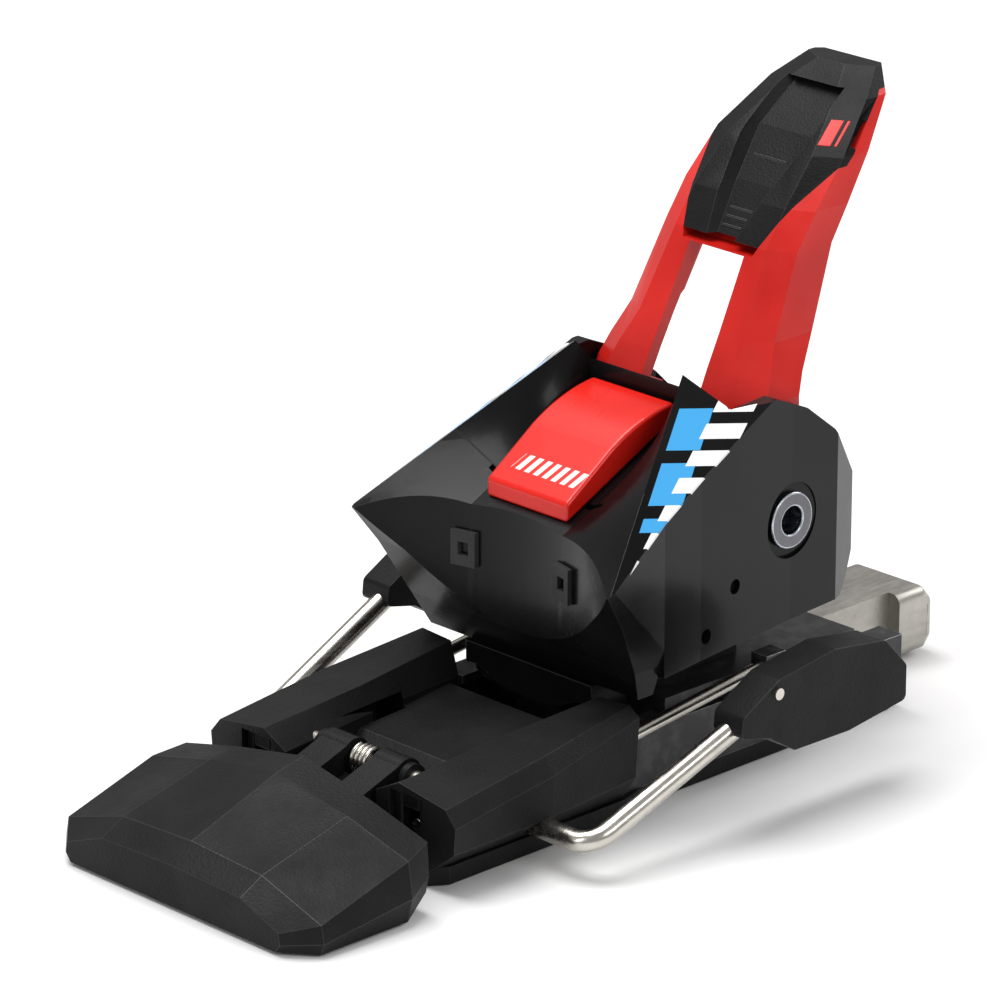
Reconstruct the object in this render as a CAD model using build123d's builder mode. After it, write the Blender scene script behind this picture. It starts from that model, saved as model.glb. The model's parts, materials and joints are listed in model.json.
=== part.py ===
from build123d import *
import os
from math import cos, sin, radians

# Heel unit of a downhill ski binding with its ski brake.
# Frame: +X towards the toe, +Y to the skier's left, +Z up, in millimetres.
# Origin: centre of the four ski screws, on the underside.

os.makedirs("parts", exist_ok=True)

# ---------------------------------------------------------------- driving dimensions
SCREW_SPACING_X = 64.0
SCREW_SPACING_Y = 42.0
SCREW_HOLE_R = 2.8

RUN = 0.05            # radial clearance of a pin that turns in its hole
GAP = 0.4             # gap between sliding flats

BASE_REAR_X = -52.0   # rear end of base plate and rail
PLATE_T = 4.0         # base plate thickness
BLOCK_REAR_X = 38.0   # brake block with its two shoulders
BLOCK_FRONT_X = 95.0

BRIDGE_REAR_X = 39.5   # bridge between the shoulders
BRIDGE_FRONT_X = 74.0

RAIL_HALF_W = 28.5
RAIL_TOP = 17.0
RAIL_T = 2.0
RAIL_LIP_Y = 21.5
RAIL_FRONT_X = 36.0
RAIL_FLOOR = PLATE_T + RAIL_T

ROD_FRONT = (42.0, 31.0, 17.6)    # side rods, rising to the rear
ROD_REAR = (-4.0, 31.0, 23.2)
ROD_R = 1.5

PIVOT_X = -14.0       # main axis: heel housing and lever turn about it
PIVOT_Z = 54.0
STUD_R = 5.0
STUD_RECESS_R = 8.6
STUD_HEAD_R = 6.4
STUD_HEAD_Y = 28.6    # inner face of a stud head
STUD_HEAD_T = 1.3
STUD_DIMPLE_R = 3.2
DRUM_R = 30.0         # round back of the housing, about the main axis

CHEEK_IN = 12.5       # carriage cheeks
CHEEK_OUT = 16.0
CHEEK_ROOM = CHEEK_OUT + 1.2     # half width of the space for them in housing and jaw
HUB_IN = 17.0         # lever hubs
HUB_OUT = 26.2
HUB_R = 11.0
WALL_IN = 26.6        # housing side walls

TUBE_R = 11.0         # release spring tube
BORE_R = 8.5
TUBE_REAR_X = -43.5
TUBE_CAP_T = 3.5
TUBE_FRONT_X = 13.0
SEAT_X = -27.0        # rear face of the spring seat
SEAT_T = 5.0
SPRING_END_X = 4.0
PISTON_TIP_X = 21.6
SCREW_R = 3.0
ROLLER_X = 26.0       # cam roller on the carriage
ROLLER_Z = 51.0
ROLLER_R = 4.0
ROLLER_PIN_R = 2.0
SWEEP_R = 47.5        # space that the cam roller's arms need inside the housing

JAW_TIP = (51.6, 39.5, 56.3)      # front end of a side ridge
WALL_TIP = (6.7, 16.3, 89.0)      # rear end of a side ridge
SIDE_HUMP = (0.0, 29.0, 82.0)     # third point of the sloping side face
HOUSING_BOTTOM_Z = 31.0
CHANNEL_HALF_W = 14.0             # flat floor of the channel between the ridges
HOUSING_FRONT_X = 31.0            # joint plane between housing and jaw
CUP_R = 63.6                      # boot heel cup
CUP_X = 102.6
CUP_LUG_T = 1.2
TREADLE_EDGE_R = 34.0
SIDE_PINS = ((6.0, 44.5), (16.0, 36.0))   # pins through the side walls, (x, z)
SIDE_PIN_R = 1.7
SIDE_PIN_Y = 26.0

LOCK_X = -34.0        # tail lever that locks the carriage on the rail
LOCK_Z = 12.0
LOCK_HALF_H = 4.5
LOCK_PIN_R = 2.5
LOCK_PIN_HALF = 20.0
TUNNEL_Z = 10.6       # tunnel of the forward pressure spring in the carriage
TUNNEL_R = 4.1

HINGE_X = 84.0        # brake pedal hinge
HINGE_Z = 17.0
HINGE_PIN_R = 2.0
HINGE_PIN_HALF = 17.0
KNUCKLE_R = 4.0
ARM_X = 68.0          # brake arms' pivot line
ARM_Z = 8.0
ARM_Y = 50.5          # where an arm bends to the rear
ARM_INNER_Y = 22.0
WIRE_R = 2.4
FOOT_Y = 50.3
FOOT_T = 8.4

SIDES = ((1, "left"), (-1, "right"))


def save(piece, name):
    piece.label = name
    export_step(piece, f"parts/{name}.step")


def on_ridge(x, axis):
    """Half width (axis 1) or height (axis 2) of the side ridges at x."""
    slope = (JAW_TIP[axis] - WALL_TIP[axis]) / (JAW_TIP[0] - WALL_TIP[0])
    return WALL_TIP[axis] + (x - WALL_TIP[0]) * slope


def floor_z(x):
    """Height of the channel floor between the ridges."""
    return 60.0 + 0.48 * (41.0 - x)


def plane_x(x):
    """Plane across the binding: local axes are (y, z)."""
    return Plane(origin=(x, 0, 0), x_dir=(0, 1, 0), z_dir=(1, 0, 0))


def plane_y(y):
    """Plane along the binding: local axes are (x, z); it extrudes towards -Y."""
    return Plane(origin=(0, y, 0), x_dir=(1, 0, 0), z_dir=(0, -1, 0))


def side_face_plane(side):
    """Sloping face outside a ridge, its normal outwards and up."""
    tip = Vector(JAW_TIP[0], side * JAW_TIP[1], JAW_TIP[2])
    wall = Vector(WALL_TIP[0], side * WALL_TIP[1], WALL_TIP[2])
    hump = Vector(SIDE_HUMP[0], side * SIDE_HUMP[1], SIDE_HUMP[2])
    normal = (wall - tip).cross(hump - tip).normalized()
    if normal.Z < 0:
        normal = normal * -1
    return Plane(origin=tip, x_dir=(wall - tip).normalized(), z_dir=normal)


def channel_outline(x):
    """Open space above the channel between the ridges, at x."""
    high = on_ridge(x, 2) + 60
    wide = on_ridge(x, 1) + 60 * 0.7
    half = [(CHANNEL_HALF_W, floor_z(x)), (on_ridge(x, 1), on_ridge(x, 2)), (wide, high)]
    return half + [(-y, z) for y, z in reversed(half)]


def rod_plane(side):
    """Plane at the front end of a side rod, its normal along the rod to the rear."""
    start = Vector(ROD_FRONT[0], side * ROD_FRONT[1], ROD_FRONT[2])
    end = Vector(ROD_REAR[0], side * ROD_REAR[1], ROD_REAR[2])
    return Plane(origin=start, x_dir=(0, 1, 0), z_dir=(end - start).normalized())


rod_length = (Vector(*ROD_REAR) - Vector(*ROD_FRONT)).length

# ---------------------------------------------------------------- base plate
with BuildPart() as base_plate:
    with BuildSketch():
        with BuildLine():
            Polyline(
                (BASE_REAR_X, -RAIL_HALF_W), (30, -RAIL_HALF_W), (38, -31), (90, -31), (BLOCK_FRONT_X, -27.5),
                (BLOCK_FRONT_X, 27.5), (90, 31), (38, 31), (30, RAIL_HALF_W), (BASE_REAR_X, RAIL_HALF_W),
                close=True,
            )
        make_face()
    extrude(amount=PLATE_T)
    fillet(base_plate.edges().filter_by(Axis.Z).sort_by(Axis.X)[:2], 5)
    with GridLocations(SCREW_SPACING_X, SCREW_SPACING_Y, 2, 2):
        Hole(SCREW_HOLE_R)
save(base_plate.part, "base_plate")

# ---------------------------------------------------------------- steel rail
with BuildPart() as rail:
    with BuildSketch(plane_x(BASE_REAR_X)):
        with BuildLine():
            Polyline(
                (-RAIL_HALF_W, PLATE_T), (RAIL_HALF_W, PLATE_T), (RAIL_HALF_W, RAIL_TOP),
                (RAIL_LIP_Y, RAIL_TOP), (RAIL_LIP_Y, RAIL_TOP - RAIL_T),
                (RAIL_HALF_W - RAIL_T, RAIL_TOP - RAIL_T), (RAIL_HALF_W - RAIL_T, RAIL_FLOOR),
                (RAIL_T - RAIL_HALF_W, RAIL_FLOOR), (RAIL_T - RAIL_HALF_W, RAIL_TOP - RAIL_T),
                (-RAIL_LIP_Y, RAIL_TOP - RAIL_T), (-RAIL_LIP_Y, RAIL_TOP), (-RAIL_HALF_W, RAIL_TOP),
                close=True,
            )
        make_face()
    extrude(amount=RAIL_FRONT_X - BASE_REAR_X)
    with BuildSketch(Plane.XY.offset(RAIL_FLOOR)):
        with GridLocations(SCREW_SPACING_X, SCREW_SPACING_Y, 2, 2):
            Circle(SCREW_HOLE_R)
        # ladder of slots for setting the carriage to the boot's length
        with Locations((-20, 0)):
            with GridLocations(6, 1, 9, 1):
                Rectangle(3, 12)
    extrude(amount=-RAIL_T, mode=Mode.SUBTRACT)
    # lugs that hold the rear ends of the side rods
    with Locations((ROD_REAR[0] - 2, RAIL_HALF_W + 2.4, ROD_REAR[2] - 3.5)):
        lug = Box(6, 4.8, 13)
    mirror(lug, about=Plane.XZ)
    for side, word in SIDES:
        with BuildSketch(rod_plane(side)):
            Circle(ROD_R)
        extrude(amount=60, mode=Mode.SUBTRACT)
save(rail.part, "rail")

# ---------------------------------------------------------------- side rods from the brake block to the rail
for side, word in SIDES:
    with BuildPart() as side_rod:
        with BuildSketch(rod_plane(side)):
            Circle(ROD_R)
        extrude(amount=rod_length)
    save(side_rod.part, f"side_rod_{word}")

# ---------------------------------------------------------------- brake block with its two shoulders
block_sections = (
    (BLOCK_FRONT_X, [(30, PLATE_T), (37.5, 10), (38, 16), (35, 19.5), (21, 21.5), (14, 18), (14, 7)]),
    (66, [(30, PLATE_T), (37, 10), (37.5, 19.5), (34.5, 23), (21, 23.5), (18, 18), (18, 7)]),
    (BLOCK_REAR_X, [(30, PLATE_T), (34, 10), (35, 24), (32, 26), (23, 25.5), (20.6, 18), (20.6, 7)]),
)
with BuildPart() as brake_block:
    for x, outline in block_sections:
        with BuildSketch(plane_x(x)):
            with BuildLine():
                Polyline(*outline, (10, 7), (10, PLATE_T), close=True)
            make_face()
    loft(ruled=True)
    # bridge between the shoulders, behind the hinge
    with BuildSketch(plane_y(22)):
        with BuildLine():
            Polyline(
                (BRIDGE_REAR_X, PLATE_T), (BRIDGE_REAR_X, 15.5), (BRIDGE_REAR_X + 1.5, 17), (70, 15.5),
                (BRIDGE_FRONT_X, 12.5), (BRIDGE_FRONT_X, PLATE_T), close=True,
            )
        make_face()
    extrude(amount=22)
    # pocket for the arm's crank, open to the front
    with BuildSketch(Plane.XY.offset(5.5)):
        with Locations((76.5, 23)):
            Rectangle(41, 10)
    extrude(amount=14, mode=Mode.SUBTRACT)
    # bearing of the arm in the outer wall
    with BuildSketch(plane_y(45)):
        with Locations((ARM_X, ARM_Z)):
            Circle(WIRE_R + RUN)
    extrude(amount=22, mode=Mode.SUBTRACT)
    # hole for the front end of the side rod
    with BuildSketch(rod_plane(1)):
        Circle(ROD_R)
    extrude(amount=10, mode=Mode.SUBTRACT)
    mirror(about=Plane.XZ)
    # cross floor that joins the shoulders
    with Locations(((BLOCK_REAR_X + BLOCK_FRONT_X) / 2, 0, (PLATE_T + 7) / 2)):
        Box(BLOCK_FRONT_X - BLOCK_REAR_X, 21, 7 - PLATE_T)
    # seats of the hinge pin in the inner walls
    with BuildSketch(plane_y(HINGE_PIN_HALF)):
        with Locations((HINGE_X, HINGE_Z)):
            Circle(HINGE_PIN_R)
    extrude(amount=2 * HINGE_PIN_HALF, mode=Mode.SUBTRACT)
save(brake_block.part, "brake_block")

# ---------------------------------------------------------------- pedal hinge: pin, end sleeves, spring
with BuildPart() as hinge_pin:
    with BuildSketch(plane_y(HINGE_PIN_HALF)):
        with Locations((HINGE_X, HINGE_Z)):
            Circle(HINGE_PIN_R)
    extrude(amount=2 * HINGE_PIN_HALF)
save(hinge_pin.part, "hinge_pin")

with BuildPart() as brake_spring:
    with BuildLine():
        coil = Helix(pitch=1.3, height=4.8, radius=3.1, center=(HINGE_X, -2.4, HINGE_Z), direction=(0, 1, 0))
    with BuildSketch(Plane(origin=coil @ 0, z_dir=coil % 0)):
        Circle(0.55)
    sweep(path=coil, is_frenet=True)
save(brake_spring.part, "brake_spring")

with BuildPart() as hinge_sleeves:
    with BuildSketch(plane_y(14)):
        with Locations((HINGE_X, HINGE_Z)):
            Circle(3.3)
            Circle(HINGE_PIN_R, mode=Mode.SUBTRACT)
    extrude(amount=1.7)
    mirror(about=Plane.XZ)
save(hinge_sleeves.part, "hinge_sleeves")

# ---------------------------------------------------------------- brake pedal
pedal_sections = (
    (140.0, [(0, 0.6), (32, 0.6), (33.5, 2.5), (33, 5), (21.6, 9.3), (0, 10)]),
    (134.0, [(0, 0.4), (39.3, 0.4), (40.3, 3), (39.5, 7), (21.6, 12.5), (0, 13.5)]),
    (110.0, [(0, 0.4), (39.5, 0.4), (41, 6), (39.8, 14), (21.3, 18.5), (0, 22)]),
    (102.5, [(0, 4), (37, 4), (38, 8), (37.5, 15.5), (21, 19.5), (0, 23.5)]),
)
with BuildPart() as brake_pedal:
    for x, half in pedal_sections:
        with BuildSketch(plane_x(x)):
            with BuildLine():
                Polyline(*half, close=True)
            make_face()
    loft(ruled=True)
    mirror(about=Plane.XZ)
    # hollow underside
    with BuildSketch(Plane.XY):
        with BuildLine():
            Polyline((108, -34), (131, -34), (134, -28), (134, 28), (131, 34), (108, 34), close=True)
        make_face()
    extrude(amount=4.5, mode=Mode.SUBTRACT)
save(brake_pedal.part, "brake_pedal")

with BuildPart() as pedal_hinge:
    with BuildSketch(plane_y(12)):
        with Locations((HINGE_X, HINGE_Z)):
            Circle(KNUCKLE_R)
        with BuildLine():
            Polyline((HINGE_X + 1, HINGE_Z + 3.6), (102.5, 14.5), (102.5, 8), (HINGE_X + 3, HINGE_Z - 2.6), close=True)
        make_face()
        with Locations((HINGE_X, HINGE_Z)):
            Circle(HINGE_PIN_R + RUN, mode=Mode.SUBTRACT)
    extrude(amount=8)
    mirror(about=Plane.XZ)
    with Locations((100.5, 0, 11)):
        Box(4, 24, 6)
save(pedal_hinge.part, "pedal_hinge")

# ---------------------------------------------------------------- brake arms: wire, foot and foot rivet
ARM_END = (23.0, 54.3, 27.1)
FOOT_RIVET = (20.5, 31.5)
FOOT_RIVET_R = 1.3
FOOT_OUTLINE = (
    (31.5, 24), (31, 28.5), (20, 34.5), (3, 36.8), (-13, 34.5), (-20, 27), (-20, 19), (-2, 16.7), (15, 17), (23, 22),
)
for side, word in SIDES:
    with BuildPart() as wire:
        with BuildLine() as route:
            FilletPolyline(
                (ARM_END[0], side * ARM_END[1], ARM_END[2]), (ARM_X, side * ARM_Y, ARM_Z),
                (ARM_X, side * ARM_INNER_Y, ARM_Z), (ARM_X + 8, side * ARM_INNER_Y, ARM_Z), radius=5.5,
            )
        with BuildSketch(Plane(origin=route.line @ 0, z_dir=route.line % 0)):
            Circle(WIRE_R)
        sweep()
    save(wire.part, f"brake_wire_{word}")

    with BuildPart() as foot:
        with BuildSketch(plane_y(side * (FOOT_Y + FOOT_T / 2) + FOOT_T / 2)):
            with BuildLine():
                Polyline(*FOOT_OUTLINE, close=True)
            make_face()
        extrude(amount=FOOT_T)
        fillet(foot.edges().filter_by(Axis.Y), 1.5)
        add(wire.part, mode=Mode.SUBTRACT)
        with BuildSketch(plane_y(side * (FOOT_Y + FOOT_T / 2) + FOOT_T)):
            with Locations(FOOT_RIVET):
                Circle(FOOT_RIVET_R)
        extrude(amount=FOOT_T * 2, mode=Mode.SUBTRACT)
    save(foot.part, f"brake_foot_{word}")

    with BuildPart() as rivet:
        with BuildSketch(plane_y(side * (FOOT_Y + FOOT_T / 2) + FOOT_T / 2 + 0.6)):
            with Locations(FOOT_RIVET):
                Circle(FOOT_RIVET_R)
        extrude(amount=FOOT_T + 1.2)
    save(rivet.part, f"foot_rivet_{word}")

# ---------------------------------------------------------------- carriage on the rail
CARRIAGE_REAR_X = -40.0
CARRIAGE_FRONT_X = 20.0
with BuildPart() as carriage:
    with BuildSketch(plane_x(CARRIAGE_REAR_X)):
        foot_y = RAIL_HALF_W - RAIL_T - GAP
        neck_y = RAIL_LIP_Y - GAP
        foot_top = RAIL_TOP - RAIL_T - GAP
        deck_low = RAIL_TOP + GAP
        with BuildLine():
            Polyline(
                (-foot_y, RAIL_FLOOR + GAP), (foot_y, RAIL_FLOOR + GAP), (foot_y, foot_top), (neck_y, foot_top),
                (neck_y, deck_low), (25, deck_low), (25, 20.5), (-25, 20.5), (-25, deck_low),
                (-neck_y, deck_low), (-neck_y, foot_top), (-foot_y, foot_top), close=True,
            )
        make_face()
    extrude(amount=CARRIAGE_FRONT_X - CARRIAGE_REAR_X)
    # cheeks: pivot boss, arms to the cam roller, legs to the deck
    with BuildSketch(plane_y(CHEEK_OUT)):
        with BuildLine():
            Polyline(
                (-22.5, 51), (-11.5, 28), (-11.5, 19), (16, 19), (30.5, 47.5), (29, 56.3), (-14, 62), close=True,
            )
        make_face()
        with Locations((PIVOT_X, PIVOT_Z)):
            Circle(9)
        with Locations((ROLLER_X, ROLLER_Z)):
            Circle(5.5)
        with Locations((PIVOT_X, PIVOT_Z)):
            Circle(STUD_R + RUN, mode=Mode.SUBTRACT)
        with Locations((ROLLER_X, ROLLER_Z)):
            Circle(ROLLER_PIN_R, mode=Mode.SUBTRACT)
    extrude(amount=CHEEK_OUT - CHEEK_IN)
    mirror(about=Plane.XZ)
    # slot of the tail lever and its pin hole
    with Locations((CARRIAGE_REAR_X + 9.5, 0, 12)):
        Box(21, 17, 20, mode=Mode.SUBTRACT)
    with BuildSketch(plane_y(LOCK_PIN_HALF)):
        with Locations((LOCK_X, LOCK_Z)):
            Circle(LOCK_PIN_R)
    extrude(amount=2 * LOCK_PIN_HALF, mode=Mode.SUBTRACT)
    # tunnel of the forward pressure spring
    with BuildSketch(plane_x(-18)):
        with Locations((0, TUNNEL_Z)):
            Circle(TUNNEL_R)
    extrude(amount=40, mode=Mode.SUBTRACT)
save(carriage.part, "carriage")

with BuildPart() as pressure_spring:
    with BuildLine():
        coil = Helix(pitch=2.9, height=29, radius=3.0, center=(-15.5, 0, TUNNEL_Z), direction=(1, 0, 0))
    with BuildSketch(Plane(origin=coil @ 0, z_dir=coil % 0)):
        Circle(0.8)
    sweep(path=coil, is_frenet=True)
save(pressure_spring.part, "pressure_spring")

with BuildPart() as pressure_plug:
    with BuildSketch(plane_x(14.6)):
        with Locations((0, TUNNEL_Z)):
            Circle(TUNNEL_R)
            Rectangle(6, 1.2, mode=Mode.SUBTRACT)
    extrude(amount=4.4)
save(pressure_plug.part, "pressure_plug")

with BuildPart() as cam_roller:
    with BuildSketch(plane_y(CHEEK_IN - GAP)):
        with Locations((ROLLER_X, ROLLER_Z)):
            Circle(ROLLER_R)
            Circle(ROLLER_PIN_R + RUN, mode=Mode.SUBTRACT)
    extrude(amount=2 * (CHEEK_IN - GAP))
save(cam_roller.part, "cam_roller")

with BuildPart() as roller_pin:
    with BuildSketch(plane_y(CHEEK_OUT)):
        with Locations((ROLLER_X, ROLLER_Z)):
            Circle(ROLLER_PIN_R)
    extrude(amount=2 * CHEEK_OUT)
save(roller_pin.part, "roller_pin")

# ---------------------------------------------------------------- tail lever
with BuildPart() as lock_lever:
    with BuildSketch(plane_y(8)):
        with Locations((LOCK_X, LOCK_Z)):
            Circle(LOCK_HALF_H)
        with Locations(((LOCK_X - 71) / 2, LOCK_Z)):
            Rectangle(71 + LOCK_X, 2 * LOCK_HALF_H)
        with Locations((LOCK_X, LOCK_Z)):
            Circle(LOCK_PIN_R + RUN, mode=Mode.SUBTRACT)
    extrude(amount=16)
    with BuildSketch(plane_y(11.5)):
        with BuildLine():
            Polyline((-70, 16.5), (-79, 16.5), (-82, 13), (-82, 4), (-79.5, 1), (-72, 1), (-70, 4), close=True)
        make_face()
    extrude(amount=23)
    fillet(lock_lever.edges().filter_by(Axis.Y).sort_by(Axis.X)[:4], 1.5)
    fillet(lock_lever.edges().filter_by(Axis.Z).sort_by(Axis.X)[:2], 2.5)
save(lock_lever.part, "lock_lever")

with BuildPart() as lock_pin:
    with BuildSketch(plane_y(LOCK_PIN_HALF)):
        with Locations((LOCK_X, LOCK_Z)):
            Circle(LOCK_PIN_R)
    extrude(amount=2 * LOCK_PIN_HALF)
save(lock_pin.part, "lock_pin")

# ---------------------------------------------------------------- heel housing
HOUSING_PLAN = (
    # one side seen from above, from the jaw to the round back
    (60, 43), (50, 39.5), (31, 35.3), (18, 33.4), (PIVOT_X, 29.6), (-30, 28.2), (-40, 23.5), (-46, 18),
)
housing_outline = HOUSING_PLAN + tuple((x, -y) for x, y in reversed(HOUSING_PLAN))

# spaces that housing and jaw share: above the sloping side faces, and the channel between the ridges
with BuildPart() as above_sides:
    for side, word in SIDES:
        with BuildSketch(side_face_plane(side)):
            Rectangle(400, 400)
        extrude(amount=90)

with BuildPart() as channel_space:
    for x in (4, 70):
        with BuildSketch(plane_x(x)):
            with BuildLine():
                Polyline(*channel_outline(x), close=True)
            make_face()
    loft(ruled=True)

# room for the lever inside the housing: open above and below, narrower towards the round back
with BuildPart() as lever_room:
    with BuildSketch(plane_y(WALL_IN)):
        with BuildLine():
            Polyline((3, 20), (3, 130), (-70, 130), (-39.5, 55), (-38.8, 46), (-35, 38), (-28, 20), close=True)
        make_face()
    extrude(amount=2 * WALL_IN)
    with BuildSketch():
        with BuildLine():
            Polyline((5, -WALL_IN), (5, WALL_IN), (-29, WALL_IN), (-40, 20.5), (-40, -20.5), (-29, -WALL_IN), close=True)
        make_face()
    extrude(amount=140, mode=Mode.INTERSECT)

slope_end = (PIVOT_X + DRUM_R * cos(radians(183)), PIVOT_Z + DRUM_R * sin(radians(183)))
drum_mid = (PIVOT_X + DRUM_R * cos(radians(208)), PIVOT_Z + DRUM_R * sin(radians(208)))
drum_end = (PIVOT_X + DRUM_R * cos(radians(230)), HOUSING_BOTTOM_Z)
with BuildPart() as heel_housing:
    with BuildSketch(plane_y(45)):
        with BuildLine():
            Polyline(
                drum_end, (HOUSING_FRONT_X, HOUSING_BOTTOM_Z), (HOUSING_FRONT_X, on_ridge(HOUSING_FRONT_X, 2)),
                (WALL_TIP[0], WALL_TIP[2]), (2.5, 82.5), (-8, 83.3), (-19, 78.5), (-29, 71), slope_end,
            )
            ThreePointArc(slope_end, drum_mid, drum_end)
        make_face()
    extrude(amount=90)
    with BuildSketch():
        with BuildLine():
            Polyline(*housing_outline, close=True)
        make_face()
    extrude(amount=120, mode=Mode.INTERSECT)
    add(above_sides.part, mode=Mode.SUBTRACT)
    add(channel_space.part, mode=Mode.SUBTRACT)
    add(lever_room.part, mode=Mode.SUBTRACT)
    # room for the carriage cheeks and the cam roller
    with BuildSketch(plane_y(CHEEK_ROOM)):
        with BuildLine():
            Polyline((2, 20), (2, 67), (32, 61), (32, 20), close=True)
        make_face()
    extrude(amount=2 * CHEEK_ROOM, mode=Mode.SUBTRACT)
    # stud holes with a recess outside, and the seat of the spring tube
    with BuildSketch(plane_y(45)):
        with Locations((PIVOT_X, PIVOT_Z)):
            Circle(STUD_R)
    extrude(amount=90, mode=Mode.SUBTRACT)
    for side, word in SIDES:
        with BuildSketch(plane_y(side * 33.6 + 5)):
            with Locations((PIVOT_X, PIVOT_Z)):
                Circle(STUD_RECESS_R)
        extrude(amount=10, mode=Mode.SUBTRACT)
    with BuildSketch(plane_x(-60)):
        with Locations((0, PIVOT_Z)):
            Circle(TUBE_R)
    extrude(amount=60 + TUBE_FRONT_X, mode=Mode.SUBTRACT)
    # blind holes of the side pins
    for side, word in SIDES:
        with BuildSketch(plane_y(side * SIDE_PIN_Y)):
            with Locations(*SIDE_PINS):
                Circle(SIDE_PIN_R)
        extrude(amount=-side * 15, mode=Mode.SUBTRACT)
save(heel_housing.part, "heel_housing")

with BuildPart() as side_pins:
    for side, word in SIDES:
        with BuildSketch(plane_y(side * SIDE_PIN_Y)):
            with Locations(*SIDE_PINS):
                Circle(SIDE_PIN_R)
        extrude(amount=-side * 4.4)
save(side_pins.part, "side_pins")

# ---------------------------------------------------------------- heel jaw with the boot cup
with BuildPart() as heel_jaw:
    for z, front, half in ((26.5, 35.5, 32), (34, 39, 34.5), (47, 46, 37.5), (57, 53, 39.6), (76, 60, 40)):
        with BuildSketch(Plane.XY.offset(z)):
            with Locations(((HOUSING_FRONT_X + front) / 2, 0)):
                Rectangle(front - HOUSING_FRONT_X, 2 * half)
    loft(ruled=True)
    with BuildSketch():
        with BuildLine():
            Polyline(*housing_outline, close=True)
        make_face()
    extrude(amount=120, mode=Mode.INTERSECT)
    add(above_sides.part, mode=Mode.SUBTRACT)
    add(channel_space.part, mode=Mode.SUBTRACT)
    # boot cup
    with BuildSketch():
        with Locations((CUP_X, 0)):
            Circle(CUP_R)
    extrude(amount=120, mode=Mode.SUBTRACT)
    # room for the cam roller
    with BuildSketch(plane_y(CHEEK_ROOM)):
        with Locations((PIVOT_X, PIVOT_Z)):
            Circle(SWEEP_R)
    extrude(amount=2 * CHEEK_ROOM, mode=Mode.SUBTRACT)
save(heel_jaw.part, "heel_jaw")

# ---------------------------------------------------------------- treadle under the jaw
with BuildPart() as treadle:
    with BuildSketch(plane_y(19.4)):
        with BuildLine():
            Polyline(
                (35.3, 26.4), (33.5, 17), (31, 12.8), (27.5, 12.8), (25.6, 18), (27.5, 26.5),
                (28, 31), (30.9, 31), (30.9, 26.4), close=True,
            )
        make_face()
    extrude(amount=38.8)
    # lower edge curved up towards both sides
    with BuildSketch(plane_x(20)):
        with Locations((0, 12.8 + TREADLE_EDGE_R)):
            Circle(TREADLE_EDGE_R)
    extrude(amount=20, mode=Mode.INTERSECT)
    # front skirt with a wavy lower edge
    with BuildSketch(plane_x(34.6)):
        with BuildLine():
            Line((-19.4, 26.4), (19.4, 26.4))
            Line((19.4, 26.4), (19.4, 21.2))
            Spline((19.4, 21.2), (15, 21.4), (9, 18.9), (0, 18.3), (-9, 18.9), (-15, 21.4), (-19.4, 21.2))
            Line((-19.4, 21.2), (-19.4, 26.4))
        make_face()
    extrude(amount=2.4)
save(treadle.part, "treadle")

# ---------------------------------------------------------------- red top insert and the two lugs in the cup
with BuildPart() as top_insert:
    with BuildSketch(plane_y(12.4)):
        with BuildLine():
            Polyline((24, floor_z(24)), (37.5, floor_z(37.5)), (37.5, 66), (24, 75.2))
            ThreePointArc((24, 75.2), (15, 79.4), (5, 81.4))
            Polyline((5, 81.4), (5, floor_z(5)), (24, floor_z(24)))
        make_face()
    extrude(amount=24.8)
save(top_insert.part, "top_insert")

with BuildPart() as cup_lugs:
    with BuildSketch(plane_x(36)):
        with Locations((15, 50), (-15, 50)):
            Rectangle(6, 8)
            Rectangle(2.6, 3, mode=Mode.SUBTRACT)
    extrude(amount=8)
    with BuildSketch():
        with Locations((CUP_X, 0)):
            Circle(CUP_R)
            Circle(CUP_R - CUP_LUG_T, mode=Mode.SUBTRACT)
    extrude(amount=120, mode=Mode.INTERSECT)
save(cup_lugs.part, "cup_lugs")

# ---------------------------------------------------------------- pivot studs
for side, word in SIDES:
    with BuildPart() as stud:
        with BuildSketch(plane_y(side * CHEEK_IN)):
            with Locations((PIVOT_X, PIVOT_Z)):
                Circle(STUD_R)
        extrude(amount=-side * (STUD_HEAD_Y - CHEEK_IN))
        with BuildSketch(plane_y(side * STUD_HEAD_Y)):
            with Locations((PIVOT_X, PIVOT_Z)):
                Circle(STUD_HEAD_R)
        extrude(amount=-side * STUD_HEAD_T)
        with BuildSketch(plane_y(side * (STUD_HEAD_Y + STUD_HEAD_T))):
            with Locations((PIVOT_X, PIVOT_Z)):
                Circle(STUD_DIMPLE_R)
        extrude(amount=side * 6, mode=Mode.SUBTRACT)
    save(stud.part, f"pivot_stud_{word}")

# ---------------------------------------------------------------- release spring, its tube, piston, seat and screw
with BuildPart() as spring_tube:
    with BuildSketch(plane_x(TUBE_REAR_X)):
        with Locations((0, PIVOT_Z)):
            Circle(TUBE_R)
    extrude(amount=TUBE_FRONT_X - TUBE_REAR_X)
    with BuildSketch(plane_x(TUBE_REAR_X + TUBE_CAP_T)):
        with Locations((0, PIVOT_Z)):
            Circle(BORE_R)
    extrude(amount=TUBE_FRONT_X - TUBE_REAR_X, mode=Mode.SUBTRACT)
    with BuildSketch(plane_x(TUBE_REAR_X)):
        with Locations((0, PIVOT_Z)):
            Circle(SCREW_R + RUN)
    extrude(amount=TUBE_CAP_T, mode=Mode.SUBTRACT)
save(spring_tube.part, "spring_tube")

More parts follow.
